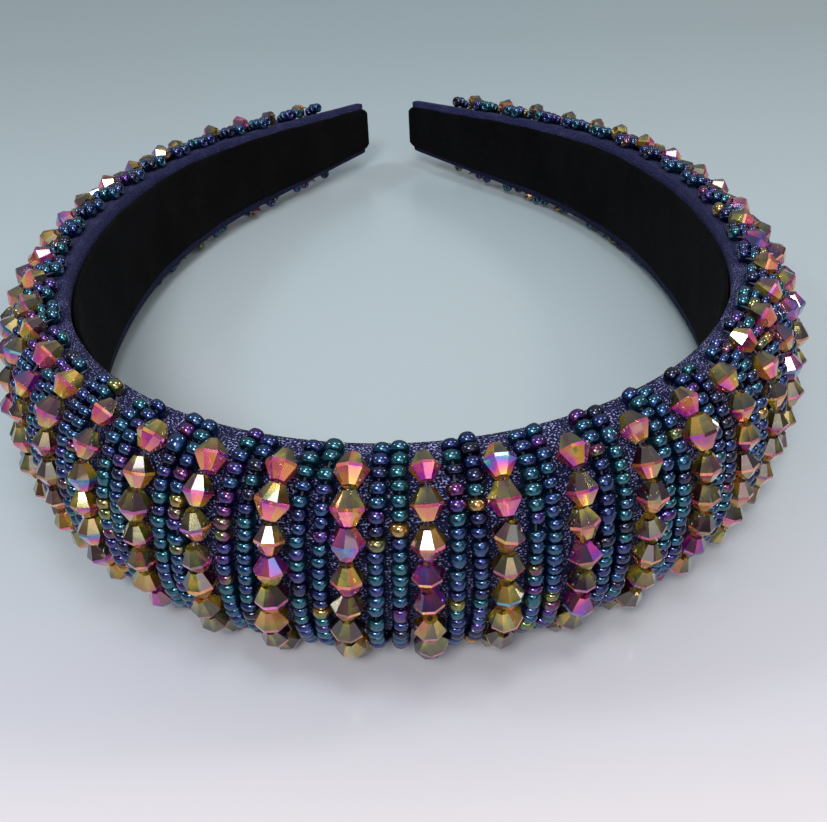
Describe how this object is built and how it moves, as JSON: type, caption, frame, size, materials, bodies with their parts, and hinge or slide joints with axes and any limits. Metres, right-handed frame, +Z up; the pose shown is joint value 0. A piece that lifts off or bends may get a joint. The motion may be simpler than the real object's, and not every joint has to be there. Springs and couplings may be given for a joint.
{
  "type": "headband",
  "caption": "Padded springy headband, widest at the crown and narrow at the tips, covered in sewn rows of faceted and seed beads over dark knit, with a felt lining.",
  "frame": {"origin": "on the table under the middle of the bounding box", "axes": "+Z up from the table the band lies on, +Y from the crown towards the two tips, +X to the right seen from the crown; the part mirrors about X = 0"},
  "size_m": [0.1346, 0.1784, 0.0327],
  "materials": {
    "core": "black moulded strip, hidden inside",
    "foam": "soft open-cell padding, hidden inside",
    "cover": "dark navy knit with a fine pale fleck",
    "lining": "near-black matte felt",
    "beads": "coated glass: iris seed beads and faceted crystals with a rainbow coat"
  },
  "bodies": {
    "crown": {"band_core_crown": "core", "foam_pad_crown": "foam", "cover_crown": "cover", "lining_crown": "lining", "bead_row_19": "beads", "bead_row_20": "beads", "bead_row_21": "beads", "bead_row_22": "beads", "bead_row_23": "beads", "bead_row_24": "beads", "bead_row_25": "beads", "bead_row_26": "beads", "bead_row_27": "beads"},
    "left_arm": {"band_core_left": "core", "foam_pad_left": "foam", "cover_left": "cover", "lining_left": "lining", "tip_fold_left": "cover", "bead_row_01": "beads", "bead_row_02": "beads", "bead_row_03": "beads", "bead_row_04": "beads", "bead_row_05": "beads", "bead_row_06": "beads", "bead_row_07": "beads", "bead_row_08": "beads", "bead_row_09": "beads", "bead_row_10": "beads", "bead_row_11": "beads", "bead_row_12": "beads", "bead_row_13": "beads", "bead_row_14": "beads", "bead_row_15": "beads", "bead_row_16": "beads", "bead_row_17": "beads", "bead_row_18": "beads"},
    "right_arm": {"band_core_right": "core", "foam_pad_right": "foam", "cover_right": "cover", "lining_right": "lining", "tip_fold_right": "cover", "bead_row_28": "beads", "bead_row_29": "beads", "bead_row_30": "beads", "bead_row_31": "beads", "bead_row_32": "beads", "bead_row_33": "beads", "bead_row_34": "beads", "bead_row_35": "beads", "bead_row_36": "beads", "bead_row_37": "beads", "bead_row_38": "beads", "bead_row_39": "beads", "bead_row_40": "beads", "bead_row_41": "beads", "bead_row_42": "beads", "bead_row_43": "beads", "bead_row_44": "beads", "bead_row_45": "beads"}
  },
  "joints": [
    {"name": "left_arm_flex", "type": "hinge", "parent": "crown", "child": "left_arm", "pos_m": [-0.04137, -0.07315, 0.01786], "axis": [0, 0.0436, 0.999], "range_deg": [-1, 22], "stiffness_Nm_per_rad": 1.1},
    {"name": "right_arm_flex", "type": "hinge", "parent": "crown", "child": "right_arm", "pos_m": [0.04137, -0.07315, 0.01786], "axis": [0, -0.0436, -0.999], "range_deg": [-1, 22], "stiffness_Nm_per_rad": 1.1}
  ]
}
